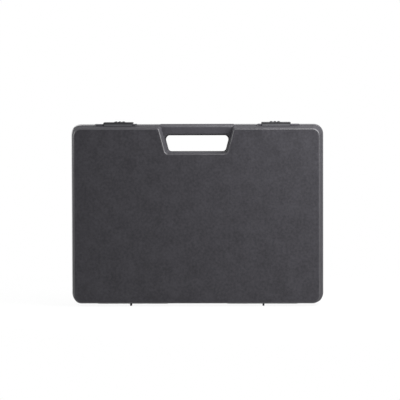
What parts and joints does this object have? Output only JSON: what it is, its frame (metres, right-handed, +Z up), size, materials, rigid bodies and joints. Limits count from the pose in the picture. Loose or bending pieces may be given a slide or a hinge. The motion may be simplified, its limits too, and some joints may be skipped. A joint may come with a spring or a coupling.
{
  "type": "plastic transit case",
  "caption": "Dark plastic carrying case with a moulded-in handle, sliding latches, a hinged lid and foam inside.",
  "frame": {"origin": "on the ground below the middle of the case, in the parting plane", "axes": "+X to the right along the width seen from the front, +Y to the back through the base, +Z up to the handle"},
  "size_m": [0.438, 0.1, 0.3192],
  "materials": {
    "shell_plastic": "fine leather grain",
    "slide_plastic": "fine satin",
    "pin_steel": "drawn",
    "grey_foam": "open-cell foam"
  },
  "bodies": {
    "base": {"base_shell": "shell_plastic", "base_foam": "grey_foam", "hinge_pin_left": "pin_steel", "hinge_pin_right": "pin_steel"},
    "lid": {"lid_shell": "shell_plastic", "lid_foam": "grey_foam"},
    "latch_left": {"latch_slide_left": "slide_plastic"},
    "latch_right": {"latch_slide_right": "slide_plastic"}
  },
  "joints": [
    {"name": "lid_hinge", "type": "hinge", "parent": "base", "child": "lid", "pos_m": [0, 0, 0.0029], "axis": [1, 0, 0], "range_deg": [0, 175]},
    {"name": "latch_left_slide", "type": "slide", "parent": "lid", "child": "latch_left", "axis": [-1, 0, 0], "range_m": [0, 0.012]},
    {"name": "latch_right_slide", "type": "slide", "parent": "lid", "child": "latch_right", "axis": [1, 0, 0], "range_m": [0, 0.012]}
  ]
}
